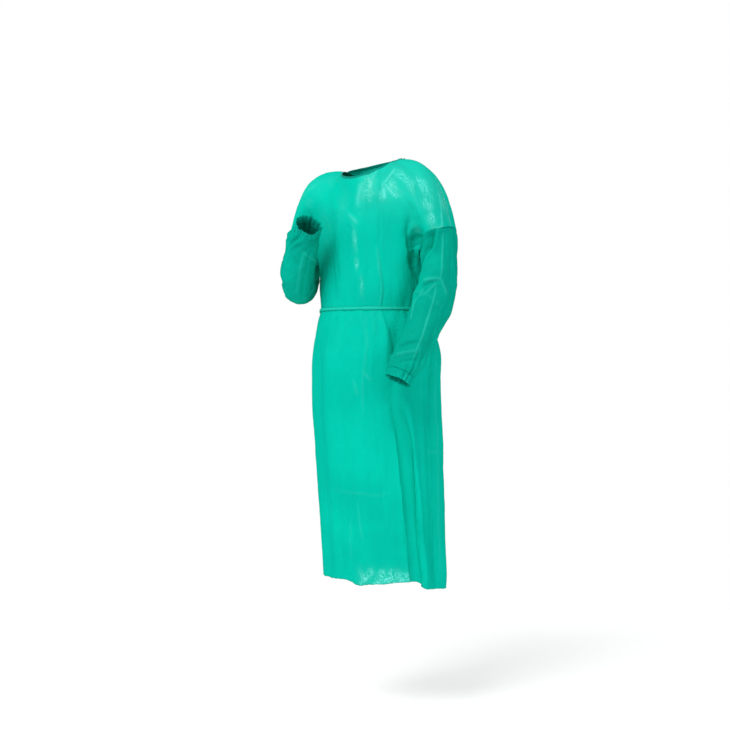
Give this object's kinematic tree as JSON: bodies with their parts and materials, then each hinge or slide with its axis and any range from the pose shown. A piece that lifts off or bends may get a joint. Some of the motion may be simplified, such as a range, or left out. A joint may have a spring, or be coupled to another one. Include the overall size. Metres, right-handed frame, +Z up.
{
  "type": "isolation gown",
  "caption": "Worn, hollow isolation gown of coated nonwoven cloth with long sleeves, gathered cuffs, a bound neck, a lapped back and a waist tie.",
  "frame": {"origin": "middle of the neck opening, level with the shoulders, where the wearer's shoulders hold the gown up", "axes": "+Z up along the standing wearer, -Y out of the gown's front, +X towards the wearer's left"},
  "size_m": [0.5296, 0.433, 1.202],
  "materials": {
    "coated_cloth": "semi-gloss film on nonwoven",
    "sleeve_cloth": "matte nonwoven",
    "cuff_cloth": "matte, gathered",
    "trim_cloth": "matte"
  },
  "bodies": {
    "root": {"front_panel": "coated_cloth", "back_left_panel": "coated_cloth", "back_right_panel": "coated_cloth", "sleeve_left": "sleeve_cloth", "sleeve_right": "sleeve_cloth", "cuff_left": "cuff_cloth", "cuff_right": "cuff_cloth", "neck_binding": "trim_cloth", "neck_knot": "trim_cloth", "neck_tie_left": "trim_cloth", "neck_tie_right": "trim_cloth", "waist_belt": "coated_cloth", "waist_knot": "coated_cloth", "waist_tie_left": "coated_cloth", "waist_tie_right": "coated_cloth"}
  },
  "joints": []
}
